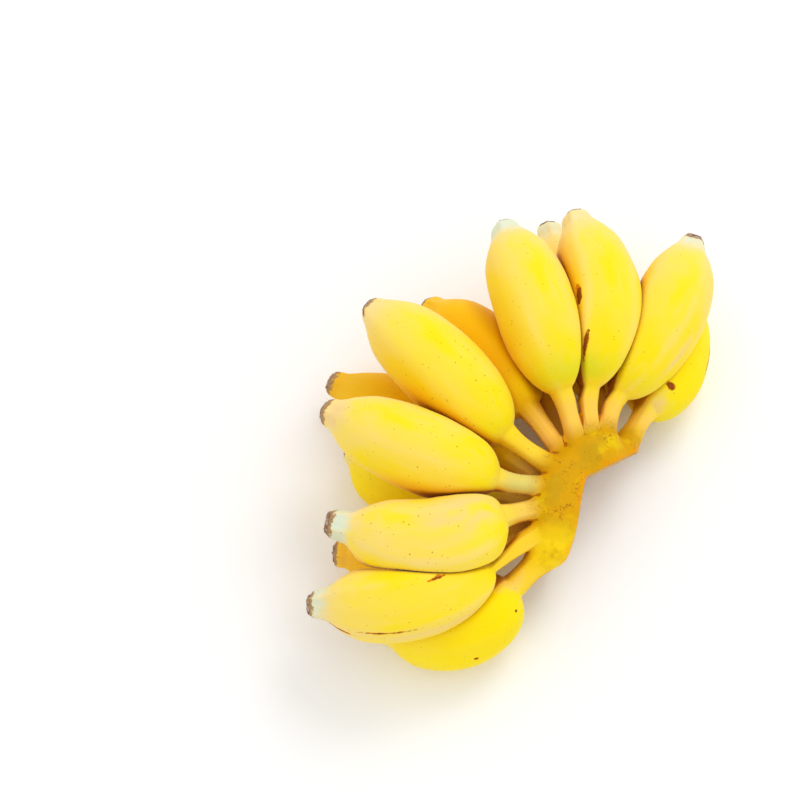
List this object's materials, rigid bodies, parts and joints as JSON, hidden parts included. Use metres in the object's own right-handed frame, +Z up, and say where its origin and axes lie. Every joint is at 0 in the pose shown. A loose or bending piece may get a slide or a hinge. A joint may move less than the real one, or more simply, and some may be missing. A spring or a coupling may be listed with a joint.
{
  "type": "apple banana hand",
  "caption": "Hand of short, plump apple bananas in two rows, fanned out from one cut crown and laid on its lower row, with ripe yellow peel.",
  "frame": {"origin": "on the table, under the middle of the hand's bounding box", "axes": "+Z up from the table the hand lies on; +Y along the longest extent, towards the far fingers; +X towards the cut crown"},
  "size_m": [0.2031, 0.2441, 0.0852],
  "materials": {
    "peel": "satin waxy peel, bright yellow with pale bloom, orange in the hollows and fine olive-brown specks",
    "crown": "dull ochre-yellow stem skin, mottled, with two dry pale-brown knife cuts",
    "blossom_end": "dry, rough, dark brown flower scar"
  },
  "bodies": {
    "root": {"crown": "crown", "finger_01": "peel", "blossom_end_01": "blossom_end", "finger_02": "peel", "blossom_end_02": "blossom_end", "finger_03": "peel", "blossom_end_03": "blossom_end", "finger_04": "peel", "blossom_end_04": "blossom_end", "finger_05": "peel", "blossom_end_05": "blossom_end", "finger_06": "peel", "blossom_end_06": "blossom_end", "finger_07": "peel", "blossom_end_07": "blossom_end", "finger_08": "peel", "blossom_end_08": "blossom_end", "finger_09": "peel", "blossom_end_09": "blossom_end", "finger_10": "peel", "blossom_end_10": "blossom_end", "finger_11": "peel", "blossom_end_11": "blossom_end", "finger_12": "peel", "blossom_end_12": "blossom_end", "finger_13": "peel", "blossom_end_13": "blossom_end", "finger_14": "peel", "blossom_end_14": "blossom_end", "finger_15": "peel", "blossom_end_15": "blossom_end"}
  },
  "joints": []
}
